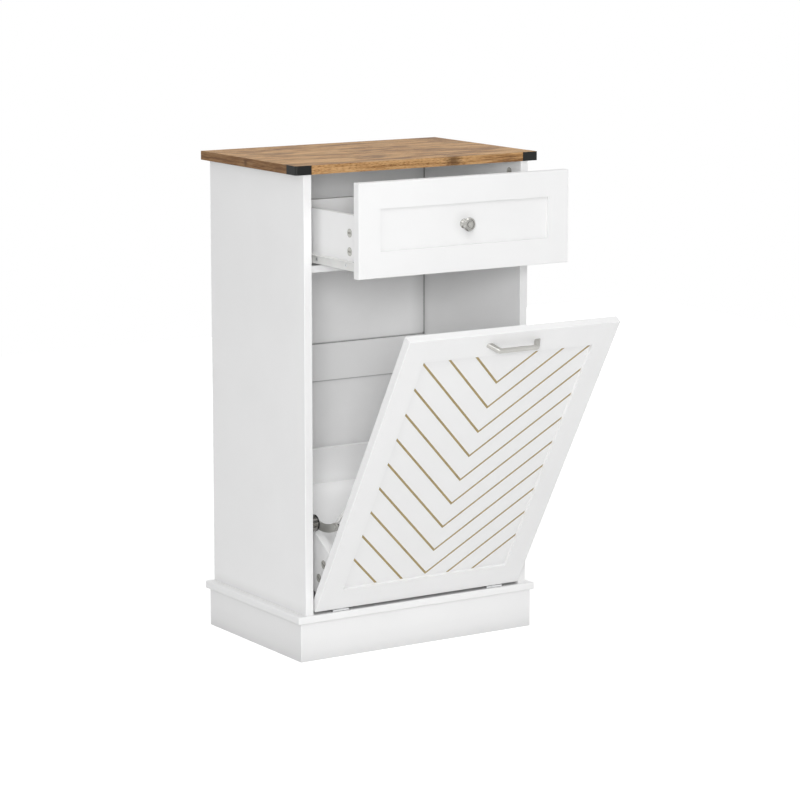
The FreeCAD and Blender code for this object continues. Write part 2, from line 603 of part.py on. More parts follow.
def chevron_solids():
    """Lines at 45 degrees to both sides of the door's middle, cut off by the recess's edges."""
    half = num(f"{FRONT_HALF} - stile")
    low = num(f"{DOOR_LOW} + door_rail")
    high = num(f"{DOOR_HIGH} - door_rail")
    face_y = num(f"{FRONT} + recess_depth")
    rise = num("chevron_width") / math.sqrt(2)
    depth = V(0, num("chevron_depth"), 0)
    frame = [V(-half, face_y, low), V(half, face_y, low), V(half, face_y, high), V(-half, face_y, high)]
    window = Part.Face(Part.makePolygon(frame + frame[:1]))
    solids = []
    for number in range(round(num("chevron_count"))):
        point = high - num("chevron_drop") - number * num("chevron_pitch")
        arm = 2 * half
        under = [V(side * arm, face_y, point + abs(side) * arm - rise) for side in (-1, 0, 1)]
        over = [V(side * arm, face_y, point + abs(side) * arm + rise) for side in (1, 0, -1)]
        shape = under + over
        line = Part.Face(Part.makePolygon(shape + shape[:1]))
        for piece in line.common(window).Faces:
            solids.append(piece.extrude(depth))
    return solids


inlay = doc.addObject("Part::Feature", "chevron_inlay")
inlay.Label = "chevron_inlay"
inlay.Shape = Part.makeCompound(chevron_solids())
place(inlay, ("0", "0", "0"), DOOR)
door = doc.addObject("Part::Cut", "door_panel")
door.Label = "door_panel"
door.Base = door_blank
door.Tool = inlay
nodes.append(door)
nodes.append(inlay)

# Door: bow handle with leaning legs and long feet, rounded all along, and its two screws.
handle = new_body("door_handle")
HOLE_X = "handle_spacing / 2"
right = [(f"{HOLE_X} + handle_foot_outside", "0"), (f"{HOLE_X} - handle_front_inset", "-handle_projection")]
gap = [(f"{HOLE_X} - handle_back_inset", "handle_bar - handle_projection"),
       (f"{HOLE_X} + handle_foot_outside - handle_foot", "0")]
left = [(f"-({x})", y) for x, y in right]
sketch = new_sketch(handle, "XY_Plane", "-handle_height / 2")
add_polygon(sketch, right + left[::-1] + [(f"-({x})", y) for x, y in gap[::-1]] + gap)
pad(handle, sketch, "handle_height")
fillet(handle, handle.Tip, "handle_bend",
       lambda p, d: abs(d.z) > 0.9 and near(p.y, -num("handle_projection")))
fillet(handle, handle.Tip, "handle_bend - handle_round",
       lambda p, d: abs(d.z) > 0.9 and near(p.y, num("handle_bar - handle_projection")))
fillet(handle, handle.Tip, "handle_round",
       lambda p, d: abs(d.z) < 0.1 and p.y < -1 and near(abs(p.z), num("handle_height / 2")))
sketch = new_sketch(handle, "XZ_Plane")
add_circle(sketch, "-handle_spacing / 2", "0", THREAD)
add_circle(sketch, "handle_spacing / 2", "0", THREAD)
pocket(handle, sketch, SCREW_HOLE, True)
place(handle, ("0", FRONT, f"{DOOR_LOW} + {HANDLE_Z}"), DOOR)
machine_screws("handle_screws", [("-handle_spacing / 2", "0"), ("handle_spacing / 2", "0")],
               "front_thickness + screw_bite", ("0", FRONTS_BACK, f"{DOOR_LOW} + {HANDLE_Z}"), DOOR)

# Hinges: case leaf with two knuckles, door leaf with the middle one, and a pin through all three.
KNUCKLE_HALF = "(hinge_knuckle_length / 2)"
OUTER_START = f"({KNUCKLE_HALF} + hinge_end_play)"
LEAF_DROP = "(door_floor_gap / 2)"
PIN_HOLE = "hinge_pin_radius + axle_play"
leaf = new_body("hinge_case_left")
sketch = new_sketch(leaf, "XY_Plane", f"-{LEAF_DROP}")
add_polygon(sketch, [("-hinge_width / 2", "0"), (f"-{OUTER_START}", "0"), (f"-{OUTER_START}", "hinge_notch"),
                     (OUTER_START, "hinge_notch"), (OUTER_START, "0"), ("hinge_width / 2", "0"),
                     ("hinge_width / 2", "hinge_leaf_depth"), ("-hinge_width / 2", "hinge_leaf_depth")])
pad(leaf, sketch, "hinge_leaf")
for start in ("-hinge_width / 2", OUTER_START):
    sketch = new_sketch(leaf, "YZ_Plane", start)
    add_circle(sketch, "0", "0", "hinge_knuckle_radius")
    pad(leaf, sketch, f"hinge_width / 2 - {OUTER_START}")
sketch = new_sketch(leaf, "YZ_Plane", "-hinge_width / 2")
add_circle(sketch, "0", "0", PIN_HOLE)
pocket(leaf, sketch, None, True)
place(leaf, (HINGE_X, HINGE_Y, HINGE_Z))
mirrored(leaf, "hinge_case_right")

leaf = new_body("hinge_door_left")
sketch = new_sketch(leaf, "XY_Plane", f"{LEAF_DROP} - hinge_leaf")
add_polygon(sketch, [(f"-{KNUCKLE_HALF}", "0"), (KNUCKLE_HALF, "0"), (KNUCKLE_HALF, "hinge_notch"),
                     ("hinge_width / 2", "hinge_notch"), ("hinge_width / 2", "hinge_door_leaf_depth"),
                     ("-hinge_width / 2", "hinge_door_leaf_depth"), ("-hinge_width / 2", "hinge_notch"),
                     (f"-{KNUCKLE_HALF}", "hinge_notch")])
pad(leaf, sketch, "hinge_leaf")
sketch = new_sketch(leaf, "YZ_Plane", f"-{KNUCKLE_HALF}")
add_circle(sketch, "0", "0", "hinge_knuckle_radius")
pad(leaf, sketch, "hinge_knuckle_length")
sketch = new_sketch(leaf, "YZ_Plane", f"-{KNUCKLE_HALF}")
add_circle(sketch, "0", "0", PIN_HOLE)
pocket(leaf, sketch, None, True)
place(leaf, (HINGE_X, HINGE_Y, HINGE_Z), DOOR)
mirrored(leaf, "hinge_door_right")

pin = new_body("hinge_pin_left")
sketch = new_sketch(pin, "YZ_Plane", "-hinge_width / 2")
add_circle(sketch, "0", "0", "hinge_pin_radius")
pad(pin, sketch, "hinge_width")
place(pin, (HINGE_X, HINGE_Y, HINGE_Z))
mirrored(pin, "hinge_pin_right")

# Door: tray for the bin, cam-locked to the back of the door.
TRAY_INNER = f"({TRAY_OUT} - board)"
tray_side = board("tray_side_left", (f"-{TRAY_OUT}", FRONTS_BACK, TRAY_LOW),
                  ("board", "tray_length", "tray_side_height"), DOOR)
fillet(tray_side, tray_side.Tip, "edge_round", lambda p, d: abs(d.y) > 0.9 and p.z > 1)
tray_cams = [("cam_setback", "tray_side_height / 2 - cam_spacing / 2"),
             ("cam_setback", "tray_side_height / 2 + cam_spacing / 2")]
cam_holes(tray_side, tray_cams, "0", True)
mirrored(tray_side, "tray_side_right")
cams = cam_locks("tray_cams_left", tray_cams, (f"-{TRAY_OUT}", FRONTS_BACK, TRAY_LOW), DOOR, True)
mirrored(cams, "tray_cams_right")
board("tray_floor", (f"-{TRAY_INNER}", FRONTS_BACK, TRAY_LOW),
      (f"2 * {TRAY_INNER}", "tray_length", "board"), DOOR)
board("tray_back", (f"-{TRAY_OUT}", f"{FRONTS_BACK} + tray_length", TRAY_LOW),
      (f"2 * {TRAY_OUT}", "tray_wall", "tray_wall_height"), DOOR)

# Stays: an arm turns on a post of each side panel, and its rivet runs in a slot of the door's bracket.
post = new_body("stay_post_left")
revolve(post, [("0", "0"), ("0", "stay_drum_radius"), ("stay_drum_length", "stay_drum_radius"),
               ("stay_drum_length", "stay_pin_radius"), (HEAD_START, "stay_pin_radius"),
               (HEAD_START, "stay_head_radius"), (f"{HEAD_START} + stay_head", "stay_head_radius"),
               (f"{HEAD_START} + stay_head", "0")])
POST = (f"-{INNER}", f"{FRONT} + stay_back", "stay_height")
place(post, POST)
mirrored(post, "stay_post_right")

PIN_BORE = "stay_pin_radius + axle_play"
ring = new_body("stay_ring_left")
revolve(ring, [("stay_drum_length", PIN_BORE), ("stay_drum_length + stay_ring", PIN_BORE),
               ("stay_drum_length + stay_ring", "stay_drum_radius + stay_ring_margin"),
               ("stay_drum_length", "stay_drum_radius + stay_ring_margin")])
place(ring, POST)
mirrored(ring, "stay_ring_right")


def turned(point, degrees):
    """Point of a side view turned about the origin, from +Y towards +Z."""
    c, s = math.cos(math.radians(degrees)), math.sin(math.radians(degrees))
    return V(point.x * c - point.y * s, point.x * s + point.y * c, 0)


def across(start, end):
    """Unit vector square to the line between two points."""
    along = (end - start).normalize()
    return V(-along.y, along.x, 0)


def spline(points):
    curve = Part.BSplineCurve()
    curve.interpolate(points)
    return curve


def band(line, width):
    """Closed outline with round ends, at a distance from a smooth line of points."""
    steps = [(line[max(i - 1, 0)], line[min(i + 1, len(line) - 1)]) for i in range(len(line))]
    one = [p + across(*step) * width for p, step in zip(line, steps)]
    other = [p - across(*step) * width for p, step in zip(line, steps)]
    first = line[0] + (line[0] - line[1]).normalize() * width
    last = line[-1] + (line[-1] - line[-2]).normalize() * width
    return [spline(one), Part.Arc(one[-1], last, other[-1]),
            spline(other[::-1]), Part.Arc(other[0], first, one[0])]


# Side view of the arm, from the post pin: a bowed line to the rivet, which is up by the rise.
STEPS = 16
length = num("stay_arm_length")
tip = turned(V(-length, 0, 0), -num("stay_arm_rise"))
sink = across(tip, V(0, 0, 0)) * -num("stay_arm_sag")
arm_line = [tip * (i / STEPS) + sink * (4 * (i / STEPS) * (1 - i / STEPS)) for i in range(STEPS + 1)]
arm = new_body("stay_arm_left")
sketch = new_sketch(arm, "YZ_Plane", ARM_START)
add_curves(sketch, band(arm_line, num("stay_arm_width") / 2))
pad(arm, sketch, "stay_sheet")
sketch = new_sketch(arm, "YZ_Plane", ARM_START)
add_circle(sketch, "0", "0", "stay_hub_radius")
pad(arm, sketch, "stay_sheet")
sketch = new_sketch(arm, "YZ_Plane", ARM_START)
add_circle(sketch, "0", "0", PIN_BORE)
pocket(arm, sketch, None, True)
TIP = ("-stay_arm_length * cos(stay_arm_rise)", "stay_arm_length * sin(stay_arm_rise)")
SHANK = f"{RIVET_END} - {ARM_START} - stay_sheet"
for start, radius, length in ((f"{ARM_START} - rivet_head", "rivet_head_radius", "rivet_head"),
                              (f"{ARM_START} + stay_sheet", "rivet_radius", SHANK),
                              (RIVET_END, "rivet_head_radius", "rivet_head")):
    sketch = new_sketch(arm, "YZ_Plane", start)
    add_circle(sketch, TIP[0], TIP[1], radius)
    pad(arm, sketch, length)
place(arm, POST)
mirrored(arm, "stay_arm_right")

# Bracket, from the hinge axis: the slot is the rivet's way past the shut door while both turn evenly.
post_at = V(num("stay_back + hinge_forward"), num(f"stay_height - {HINGE_Z}"), 0)
way = []
for i in range(STEPS + 1):
    shut_by = i / STEPS
    rivet = post_at + turned(tip, -num("stay_swing") * shut_by)
    way.append(turned(rivet, -num("door_tilt") * (1 - shut_by)))
slot = num("rivet_radius + slot_play")
back_y = num("front_thickness + hinge_forward")
foot = way[0].y + num("bracket_low")
head = way[-1].y + slot + num("slot_wall")
web = [point for point in way if point.y > foot]
bracket = new_body("stay_bracket_left")
sketch = new_sketch(bracket, "YZ_Plane", BRACKET_START)
add_curves(sketch, band(way, slot + num("slot_wall")))
pad(bracket, sketch, "stay_sheet")
sketch = new_sketch(bracket, "YZ_Plane", BRACKET_START)
corners = [V(back_y, head, 0), V(back_y, foot, 0)] + web
add_curves(sketch, [Part.LineSegment(corners[i - 1], corners[i]) for i in range(len(corners))])
pad(bracket, sketch, "stay_sheet")
sketch = new_sketch(bracket, "YZ_Plane", BRACKET_START)
sheet_end = V(num("stay_sheet"), 0, 0)
corners = [V(back_y, foot, 0), V(back_y, head, 0)]
corners += [corners[1] + sheet_end, corners[0] + sheet_end]
add_curves(sketch, [Part.LineSegment(corners[i - 1], corners[i]) for i in range(4)])
pad(bracket, sketch, "bracket_flange")
sketch = new_sketch(bracket, "YZ_Plane", BRACKET_START)
add_curves(sketch, band(way, slot))
pocket(bracket, sketch, None, True)
place(bracket, (f"-{INNER}", HINGE_Y, HINGE_Z), DOOR)
mirrored(bracket, "stay_bracket_right")

doc.recompute()
faults = [item.Name for item in doc.Objects if "Invalid" in item.State or "Error" in item.State]
if faults:
    raise RuntimeError("failed objects: " + ", ".join(faults))
for piece in nodes:
    if piece.Shape.isNull() or not piece.Shape.isValid() or not piece.Shape.Solids:
        raise RuntimeError("bad shape: " + piece.Label)

os.makedirs("parts", exist_ok=True)
for piece in nodes:
    piece.Shape.exportStep("parts/%s.step" % piece.Label)
    box = piece.Shape.BoundBox
    print("%-26s %d solid(s) %11.1f mm3  x %.1f..%.1f  y %.1f..%.1f  z %.1f..%.1f" % (
        piece.Label, len(piece.Shape.Solids), piece.Shape.Volume,
        box.XMin, box.XMax, box.YMin, box.YMax, box.ZMin, box.ZMax))
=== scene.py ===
"""Finishes, small fasteners, light and camera for a tilt-out trash can cabinet with a wood-print top."""

import json
import math

import bpy
from mathutils import Matrix, Vector


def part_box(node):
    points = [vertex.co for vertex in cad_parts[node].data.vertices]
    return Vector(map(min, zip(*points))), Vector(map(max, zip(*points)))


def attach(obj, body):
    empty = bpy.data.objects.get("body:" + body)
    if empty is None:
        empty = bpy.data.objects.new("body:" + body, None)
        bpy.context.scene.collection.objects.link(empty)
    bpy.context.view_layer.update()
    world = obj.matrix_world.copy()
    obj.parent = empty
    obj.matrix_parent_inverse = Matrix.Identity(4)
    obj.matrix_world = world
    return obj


bl_info = {
    "name": "Tilt-out trash can cabinet",
    "version": (1, 0, 0),
    "blender": (4, 5, 0),
    "location": "View3D > Sidebar > Cabinet",
    "description": "Finishes and fasteners of a white cabinet with a wood-print top",
    "category": "Object",
}

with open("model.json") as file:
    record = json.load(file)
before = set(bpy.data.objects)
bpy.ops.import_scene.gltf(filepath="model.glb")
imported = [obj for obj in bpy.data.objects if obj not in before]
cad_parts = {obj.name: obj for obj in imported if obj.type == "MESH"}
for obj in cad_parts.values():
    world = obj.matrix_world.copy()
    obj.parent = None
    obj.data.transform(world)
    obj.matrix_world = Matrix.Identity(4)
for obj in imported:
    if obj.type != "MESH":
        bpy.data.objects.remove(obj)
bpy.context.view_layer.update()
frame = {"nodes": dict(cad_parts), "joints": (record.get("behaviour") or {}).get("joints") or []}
NODES = frame["nodes"]
SLOTS = {name: piece.data.materials[0].name for name, piece in NODES.items()}
JOINTS = {joint["name"]: joint for joint in frame["joints"]}
SIDES = {"left": -1, "right": 1}

MM = 0.001
WHITE = (1.0, 1.0, 1.0, 1.0)
# White as a ramp stop, where a painted shade leaves the colour as it is.
UNSHADED = WHITE[:3]

# Nearly all values of a noise texture lie in this span.
NOISE_SPAN = (0.3, 0.7)
OVER_NOISE = dict(zip(("From Min", "From Max"), NOISE_SPAN))
# Sockets and settings of a Mix node that mixes colours.
SHARE, FIRST, SECOND = 0, 6, 7
BLEND = {"give": 2, "data_type": "RGBA"}
DARKEN = {**BLEND, "blend_type": "MULTIPLY"}

# Layers of the wood print: length and width of a feature in millimetres, detail and distortion.
PRINT = {"bands": (260, 24, 6.0, 0.5), "lines": (110, 4, 4.0, 0.2), "pores": (26, 1.4, 3.0, 0.0),
         "smoke": (150, 45, 4.0, 0.8), "grit": (7, 1.5, 3.0, 0.0)}
# Knots in the edges of the top: middle and reach in millimetres.
KNOTS = (((72, -329.5, 872), 24), ((-253, -155, 872), 9))

# Screw places in millimetres: along each slide from its front end, along each hinge from its middle.
DRAWER_SLIDE_HOLES = (40, 136, 226)
CASE_SLIDE_HOLES = (31, 138, 255)
HINGE_HOLES = (-10.5, 10.5)
# From the case leaf's back edge, from the hinge's front and from the bracket flange's inner edge.
CASE_LEAF_HOLE = 8
DOOR_LEAF_HOLE = 10.5
BRACKET_HOLE = 8
# As shares of the bracket flange's length.
BRACKET_SHARES = (0.22, 0.78)
# Thickness of the slides' and hinges' sheet, and height of the shut door's lower edge, in millimetres.
SLIDE_SHEET = 1.2
HINGE_LEAF = 1
DOOR_EDGE = 87.5
# Radians from one screw's cross to the next one's, so that they don't line up.
SCREW_SPIN = 0.6

# Place and width of each light in metres, and the point that all of them are aimed at.
LIGHTS = {"near": ((-2.9, -4.7, 1.6), 1.2), "key": ((-2.2, -3.7, 4.0), 2.4),
          "top": ((0, -0.4, 4.5), 2.0), "back": ((3.6, 3.2, 0.45), 0.8)}
AIM = Vector((0, -0.35, 0.5))
# Camera: place in metres, and degrees that it looks down and to the right.
CAMERA_PLACE = (-2.93657, -4.83957, 1.40789)
CAMERA_DOWN, CAMERA_RIGHT = 10.107, 32.703
# Width of the sensor in millimetres, of the floor in metres, and how far the camera sees in metres.
SENSOR_WIDTH = 36
FLOOR_WIDTH = 6
FAR = 200


def linear(code):
    """Linear RGB of an sRGB hex colour."""
    shares = [int(code[i:i + 2], 16) / 255 for i in (1, 3, 5)]
    return tuple(s / 12.92 if s <= 0.04045 else ((s + 0.055) / 1.055) ** 2.4 for s in shares)


def colour(name, code, description):
    """Colour property, its default an sRGB hex colour."""
    return bpy.props.FloatVectorProperty(
        name=name, description=description, subtype="COLOR", size=3, min=0, max=1, default=linear(code))


def length(name, millimetres, description):
    """Length property, its default in millimetres."""
    return bpy.props.FloatProperty(
        name=name, description=description, subtype="DISTANCE", unit="LENGTH", min=0,
        default=millimetres * MM)


def power(name, watts, description):
    """Power property of a light."""
    return bpy.props.FloatProperty(
        name=name, description=description, subtype="POWER", unit="POWER", min=0, default=watts)


class CabinetColours(bpy.types.PropertyGroup):
    """Colours of the finishes."""

    lacquer: colour("Lacquer", "#F4F4F4", "Satin lacquer of the boards")
    melamine: colour("Melamine", "#FCFCFC", "Melamine facing of the tray's boards")
    foil: colour("Hardboard foil", "#F6F6F6", "White foil of the back panels and bottoms")
    backing: colour("Backing foil", "#D6D5D2", "Balancing foil under the top")
    wood_light: colour("Wood, light", "#D6AC79", "Light streaks of the top's wood print")
    wood_middle: colour("Wood, middle", "#B48655", "Ground of the top's wood print")
    wood_dark: colour("Wood, dark", "#6A4A30", "Dark streaks and knots of the top's wood print")
    fleck: colour("Edge fleck", "#D0A777", "Golden flecks of the top's edge foil")
    guard: colour("Guards", "#171817", "Powder coat of the corner guards")
    gold: colour("Gold lines", "#A08D60", "Paint in the door's grooves")
    nickel: colour("Brushed nickel", "#BBBAB6", "Handle")
    knob: colour("Turned nickel", "#B4B3AF", "Knob")
    zinc: colour("Zinc plating", "#DCDDDE", "Hinges and screws")
    cam: colour("Cam locks", "#C4C3BD", "Die-cast cams")
    slide: colour("Slides", "#E8E8E6", "Epoxy coat of the drawer slides and stay brackets")
    roller: colour("Rollers", "#F0EFEA", "Nylon rollers")
    stay: colour("Stays", "#BDBCB8", "Nickel-plated arms")
    # Darker than the arms' nickel: a painted reflection of the dark case around the posts.
    drum_painted_dark: colour("Drums", "#8B8A87", "Polished posts of the stays")
    ring: colour("Rings", "#161616", "Friction rings of the stays")


class CabinetScrews(bpy.types.PropertyGroup):
    """Sizes of the screw heads."""

    slide_radius: length("Slide screw radius", 3.1, "Pan heads on the drawer slides")
    slide_height: length("Slide screw height", 1.2, "Pan heads on the drawer slides")
    flush_radius: length("Flush screw radius", 2.6, "Flat heads in the hinge leaves and case slides")
    flush_height: length("Flush screw height", 0.35, "Flat heads above the hinge leaves and case slides")
    bracket_radius: length("Bracket screw radius", 3.4, "Pan heads on the stay brackets")
    bracket_height: length("Bracket screw height", 1.8, "Pan heads on the stay brackets")


class CabinetStage(bpy.types.PropertyGroup):
    """Light and camera."""

    ambient: bpy.props.FloatProperty(
        name="Even light", description="Strength of the even light from all round", min=0, default=0.38)
    near: power("Near", 132, "Soft light beside the lens, which reaches into the case")
    key: power("Key", 54, "Soft light above the camera")
    top: power("Top", 24, "Soft light overhead")
    back: power("Back", 80, "Soft light behind the right side")
    lens: bpy.props.FloatProperty(
        name="Lens", description="Focal length in millimetres", subtype="DISTANCE_CAMERA", unit="CAMERA",
        default=137.85)


def add(tree, kind, inputs=None, give=0, stops=None, **settings):
    """Adds a node with its settings and links; gives one output, or all for None; stops fill a ramp."""
    made = tree.nodes.new(kind)
    for name, value in settings.items():
        setattr(made, name, value)
    for name, value in (inputs or {}).items():
        if isinstance(value, bpy.types.NodeSocket):
            tree.links.new(value, made.inputs[name])
        else:
            made.inputs[name].default_value = value
    if stops:
        ramp = made.color_ramp.elements
        while len(ramp) < len(stops):
            ramp.new(0.5)
        for element, (place, shade) in zip(ramp, stops):
            element.position, element.color = place, (*shade, 1.0)
    return made.outputs[give] if made.outputs and give is not None else made.outputs


def start(name):
    """New material with an empty node tree, and the place of each point in metres."""
    material = bpy.data.materials.new(name)
    material.use_nodes = True
    tree = material.node_tree
    tree.nodes.clear()
    return material, tree, add(tree, "ShaderNodeTexCoord", give="Object")


def per(millimetres):
    """Scale of a pattern whose features are this far apart."""
    return 1 / (millimetres * MM)


def shaded(base, low, high):
    """Ramp stops that shade a colour softly over a noise, from its low to its high share."""
    return [(place, tuple(min(1.0, c * f) for c in base)) for place, f in zip(NOISE_SPAN, (low, high))]


def satin_lacquered_mdf(name, base):
    # MDF sprayed with satin white lacquer: a soft even gloss, the faint ripple of the sprayed coat and
    # slightly duller patches where hands have been. Real ripple is about 1 mm, drawn at 6 mm to show.
    material, tree, place = start(name)
    cloud = add(tree, "ShaderNodeTexNoise", {"Vector": place, "Scale": per(140), "Detail": 3.0})
    mottle = add(tree, "ShaderNodeValToRGB", {"Fac": cloud}, stops=shaded(base, 0.975, 1.0))
    # Inner corners, grooves and joints are painted darker: painted shade, where less light reaches.
    corner = add(tree, "ShaderNodeAmbientOcclusion", {"Distance": 20 * MM}, give="AO", samples=8)
    painted_corner_shade = add(tree, "ShaderNodeValToRGB", {"Fac": corner}, stops=[(0.2, (0.86,) * 3), (1.0, UNSHADED)])
    tone = add(tree, "ShaderNodeMix", {SHARE: 1.0, FIRST: mottle, SECOND: painted_corner_shade}, **DARKEN)
    # Towards the floor it is painted darker: painted shade near the floor.
    height = add(tree, "ShaderNodeSeparateXYZ", {"Vector": place}, give="Z")
    rise = add(tree, "ShaderNodeMapRange", {"Value": height, "From Max": 100 * MM})
    floor_shade = add(tree, "ShaderNodeValToRGB", {"Fac": rise},
                stops=[(0.0, (0.86,) * 3), (0.4, (0.95,) * 3), (1.0, UNSHADED)])
    tone = add(tree, "ShaderNodeMix", {SHARE: 1.0, FIRST: tone, SECOND: floor_shade}, **DARKEN)
    handled = add(tree, "ShaderNodeTexNoise", {"Vector": place, "Scale": per(45), "Detail": 4.0})
    gloss = add(tree, "ShaderNodeMapRange", {
        **OVER_NOISE, "Value": handled, "To Min": 0.34, "To Max": 0.46})
    ripple = add(tree, "ShaderNodeTexNoise", {"Vector": place, "Scale": per(6), "Detail": 2.0})
    relief = add(tree, "ShaderNodeBump", {"Height": ripple, "Distance": 0.02 * MM, "Strength": 0.6})
    surface = add(tree, "ShaderNodeBsdfPrincipled", {
        "Base Color": tone, "Roughness": gloss, "IOR": 1.48, "Normal": relief})
    add(tree, "ShaderNodeOutputMaterial", {"Surface": surface})
    return material


def foiled_hardboard(base):
    # Thin hardboard with white foil: duller than the lacquer, with the fibre's fine pebble showing
    # through, and a thin line of painted shade where it goes into its grooves. The pebble is drawn at
    # 3 mm to show.
    material, tree, place = start("white_foiled_hardboard")
    cloud = add(tree, "ShaderNodeTexNoise", {"Vector": place, "Scale": per(60), "Detail": 3.0})
    mottle = add(tree, "ShaderNodeValToRGB", {"Fac": cloud}, stops=shaded(base, 0.97, 1.0))
    # Painted shade: a thin dark line along the seams.
    seam = add(tree, "ShaderNodeAmbientOcclusion", {"Distance": 6 * MM}, give="AO", samples=16)
    line = add(tree, "ShaderNodeValToRGB", {"Fac": seam}, stops=[(0.55, (0.3,) * 3), (0.85, UNSHADED)])
    tone = add(tree, "ShaderNodeMix", {SHARE: 1.0, FIRST: mottle, SECOND: line}, **DARKEN)
    # Towards its edges it is softly greyed: painted shade in the corners of the case.
    nook = add(tree, "ShaderNodeAmbientOcclusion", {"Distance": 35 * MM}, give="AO", samples=16)
    grey = add(tree, "ShaderNodeValToRGB", {"Fac": nook}, stops=[(0.5, (0.74,) * 3), (1.0, UNSHADED)])
    tone = add(tree, "ShaderNodeMix", {SHARE: 1.0, FIRST: tone, SECOND: grey}, **DARKEN)
    pebble = add(tree, "ShaderNodeTexNoise", {"Vector": place, "Scale": per(3), "Detail": 3.0})
    gloss = add(tree, "ShaderNodeMapRange", {
        **OVER_NOISE, "Value": pebble, "To Min": 0.5, "To Max": 0.62})
    relief = add(tree, "ShaderNodeBump", {"Height": pebble, "Distance": 0.04 * MM, "Strength": 0.5})
    surface = add(tree, "ShaderNodeBsdfPrincipled", {
        "Base Color": tone, "Roughness": gloss, "IOR": 1.47, "Normal": relief})
    add(tree, "ShaderNodeOutputMaterial", {"Surface": surface})
    return material


def printed_wood_foil(colours):
    # Wood-print foil on board: brown streaks along the width, smoky darker patches, short pores, a
    # livelier golden fleck on the front edge, browner ends, and plain backing foil underneath. Real
    # pores are 0.3 mm wide, drawn at 1.4 mm.
    material, tree, place = start("printed_wood_foil")
    light, middle, dark = colours.wood_light, colours.wood_middle, colours.wood_dark
    smoky, burnt = ((*(c * share for c in dark), 1.0) for share in (0.9, 0.55))
    x, y, z = add(tree, "ShaderNodeSeparateXYZ", {"Vector": place}, give=None)
    normal = add(tree, "ShaderNodeTexCoord", give="Normal")
    side, _, up = add(tree, "ShaderNodeSeparateXYZ", {"Vector": normal}, give=None)
    sideways = add(tree, "ShaderNodeMath", {0: side}, operation="ABSOLUTE")
    upward = add(tree, "ShaderNodeMath", {0: up}, operation="ABSOLUTE")
    along = add(tree, "ShaderNodeMix", {"Factor": sideways, "A": x, "B": y})
    across = add(tree, "ShaderNodeMix", {"Factor": upward, "A": z, "B": y})
    sheet = add(tree, "ShaderNodeCombineXYZ", {"X": along, "Y": across})

    # The print: broad bands, streaks and fine lines, each drawn out along the grain.
    drawn = {}
    for name, (long, wide, detail, warp) in PRINT.items():
        stretched = add(tree, "ShaderNodeMapping", {"Vector": sheet, "Scale": (per(long), per(wide), 1)})
        drawn[name] = add(tree, "ShaderNodeTexNoise", {
            "Vector": stretched, "Scale": 1.0, "Detail": detail, "Roughness": 0.62, "Distortion": warp})
    mixed = add(tree, "ShaderNodeMath", {0: drawn["bands"], 1: 0.36}, operation="MULTIPLY")
    for name, share in (("lines", 0.34), ("pores", 0.3)):
        mixed = add(tree, "ShaderNodeMath", {0: drawn[name], 1: share, 2: mixed},
                    operation="MULTIPLY_ADD")
    ground = add(tree, "ShaderNodeValToRGB", {"Fac": mixed},
                 stops=[(0.425, dark), (0.48, middle), (0.53, light)])
    haze = add(tree, "ShaderNodeMapRange", {
        "Value": drawn["smoke"], "From Min": 0.48, "From Max": 0.66, "To Max": 0.7})
    ground = add(tree, "ShaderNodeMix", {SHARE: haze, FIRST: ground, SECOND: smoky}, **BLEND)

    # Edges: flecks on the front one, strongest left of the middle, and the browner ends.
    worn = add(tree, "ShaderNodeMix", {"Factor": 0.4, "A": drawn["grit"], "B": drawn["lines"]})
    fleck = add(tree, "ShaderNodeValToRGB", {"Fac": worn},
                stops=[(0.37, dark), (0.47, middle), (0.56, colours.fleck)])
    front = add(tree, "ShaderNodeMath", {0: 1.0, 1: upward}, operation="SUBTRACT")
    front = add(tree, "ShaderNodeMath", {0: front, 1: sideways}, operation="SUBTRACT", use_clamp=True)
    strength = add(tree, "ShaderNodeMapRange", {
        "Value": x, "From Min": 30 * MM, "From Max": 140 * MM, "To Min": 0.8, "To Max": 0.25})
    flecked = add(tree, "ShaderNodeMath", {0: front, 1: strength}, operation="MULTIPLY")
    ground = add(tree, "ShaderNodeMix", {SHARE: flecked, FIRST: ground, SECOND: fleck}, **BLEND)
    ends = add(tree, "ShaderNodeMath", {0: sideways, 1: 0.72}, operation="MULTIPLY")
    ground = add(tree, "ShaderNodeMix", {SHARE: ends, FIRST: ground, SECOND: smoky}, **BLEND)

    # Knots, with ragged rims.
    rough = add(tree, "ShaderNodeMapRange", {
        **OVER_NOISE, "Value": drawn["grit"], "To Min": 0.6, "To Max": 1.6})
    for spot, reach in KNOTS:
        away = add(tree, "ShaderNodeVectorMath", {0: place, 1: Vector(spot) * MM}, give="Value",
                   operation="DISTANCE")
        ragged = add(tree, "ShaderNodeMath", {0: away, 1: rough}, operation="MULTIPLY")
        knot = add(tree, "ShaderNodeMapRange", {
            "Value": ragged, "From Min": 0.2 * reach * MM, "From Max": reach * MM,
            "To Min": 0.75, "To Max": 0.0})
        ground = add(tree, "ShaderNodeMix", {SHARE: knot, FIRST: ground, SECOND: burnt}, **BLEND)

    under = add(tree, "ShaderNodeMath", {0: up, 1: -0.5}, operation="LESS_THAN")
    ground = add(tree, "ShaderNodeMix", {
        SHARE: under, FIRST: ground, SECOND: (*colours.backing, 1.0)}, **BLEND)
    gloss = add(tree, "ShaderNodeMapRange", {
        **OVER_NOISE, "Value": drawn["pores"], "To Min": 0.6, "To Max": 0.48})
    relief = add(tree, "ShaderNodeBump", {
        "Height": drawn["pores"], "Distance": 0.15 * MM, "Strength": 0.6})
    surface = add(tree, "ShaderNodeBsdfPrincipled", {
        "Base Color": ground, "Roughness": gloss, "IOR": 1.46, "Specular IOR Level": 0.2,
        "Normal": relief})
    add(tree, "ShaderNodeOutputMaterial", {"Surface": surface})
    return material


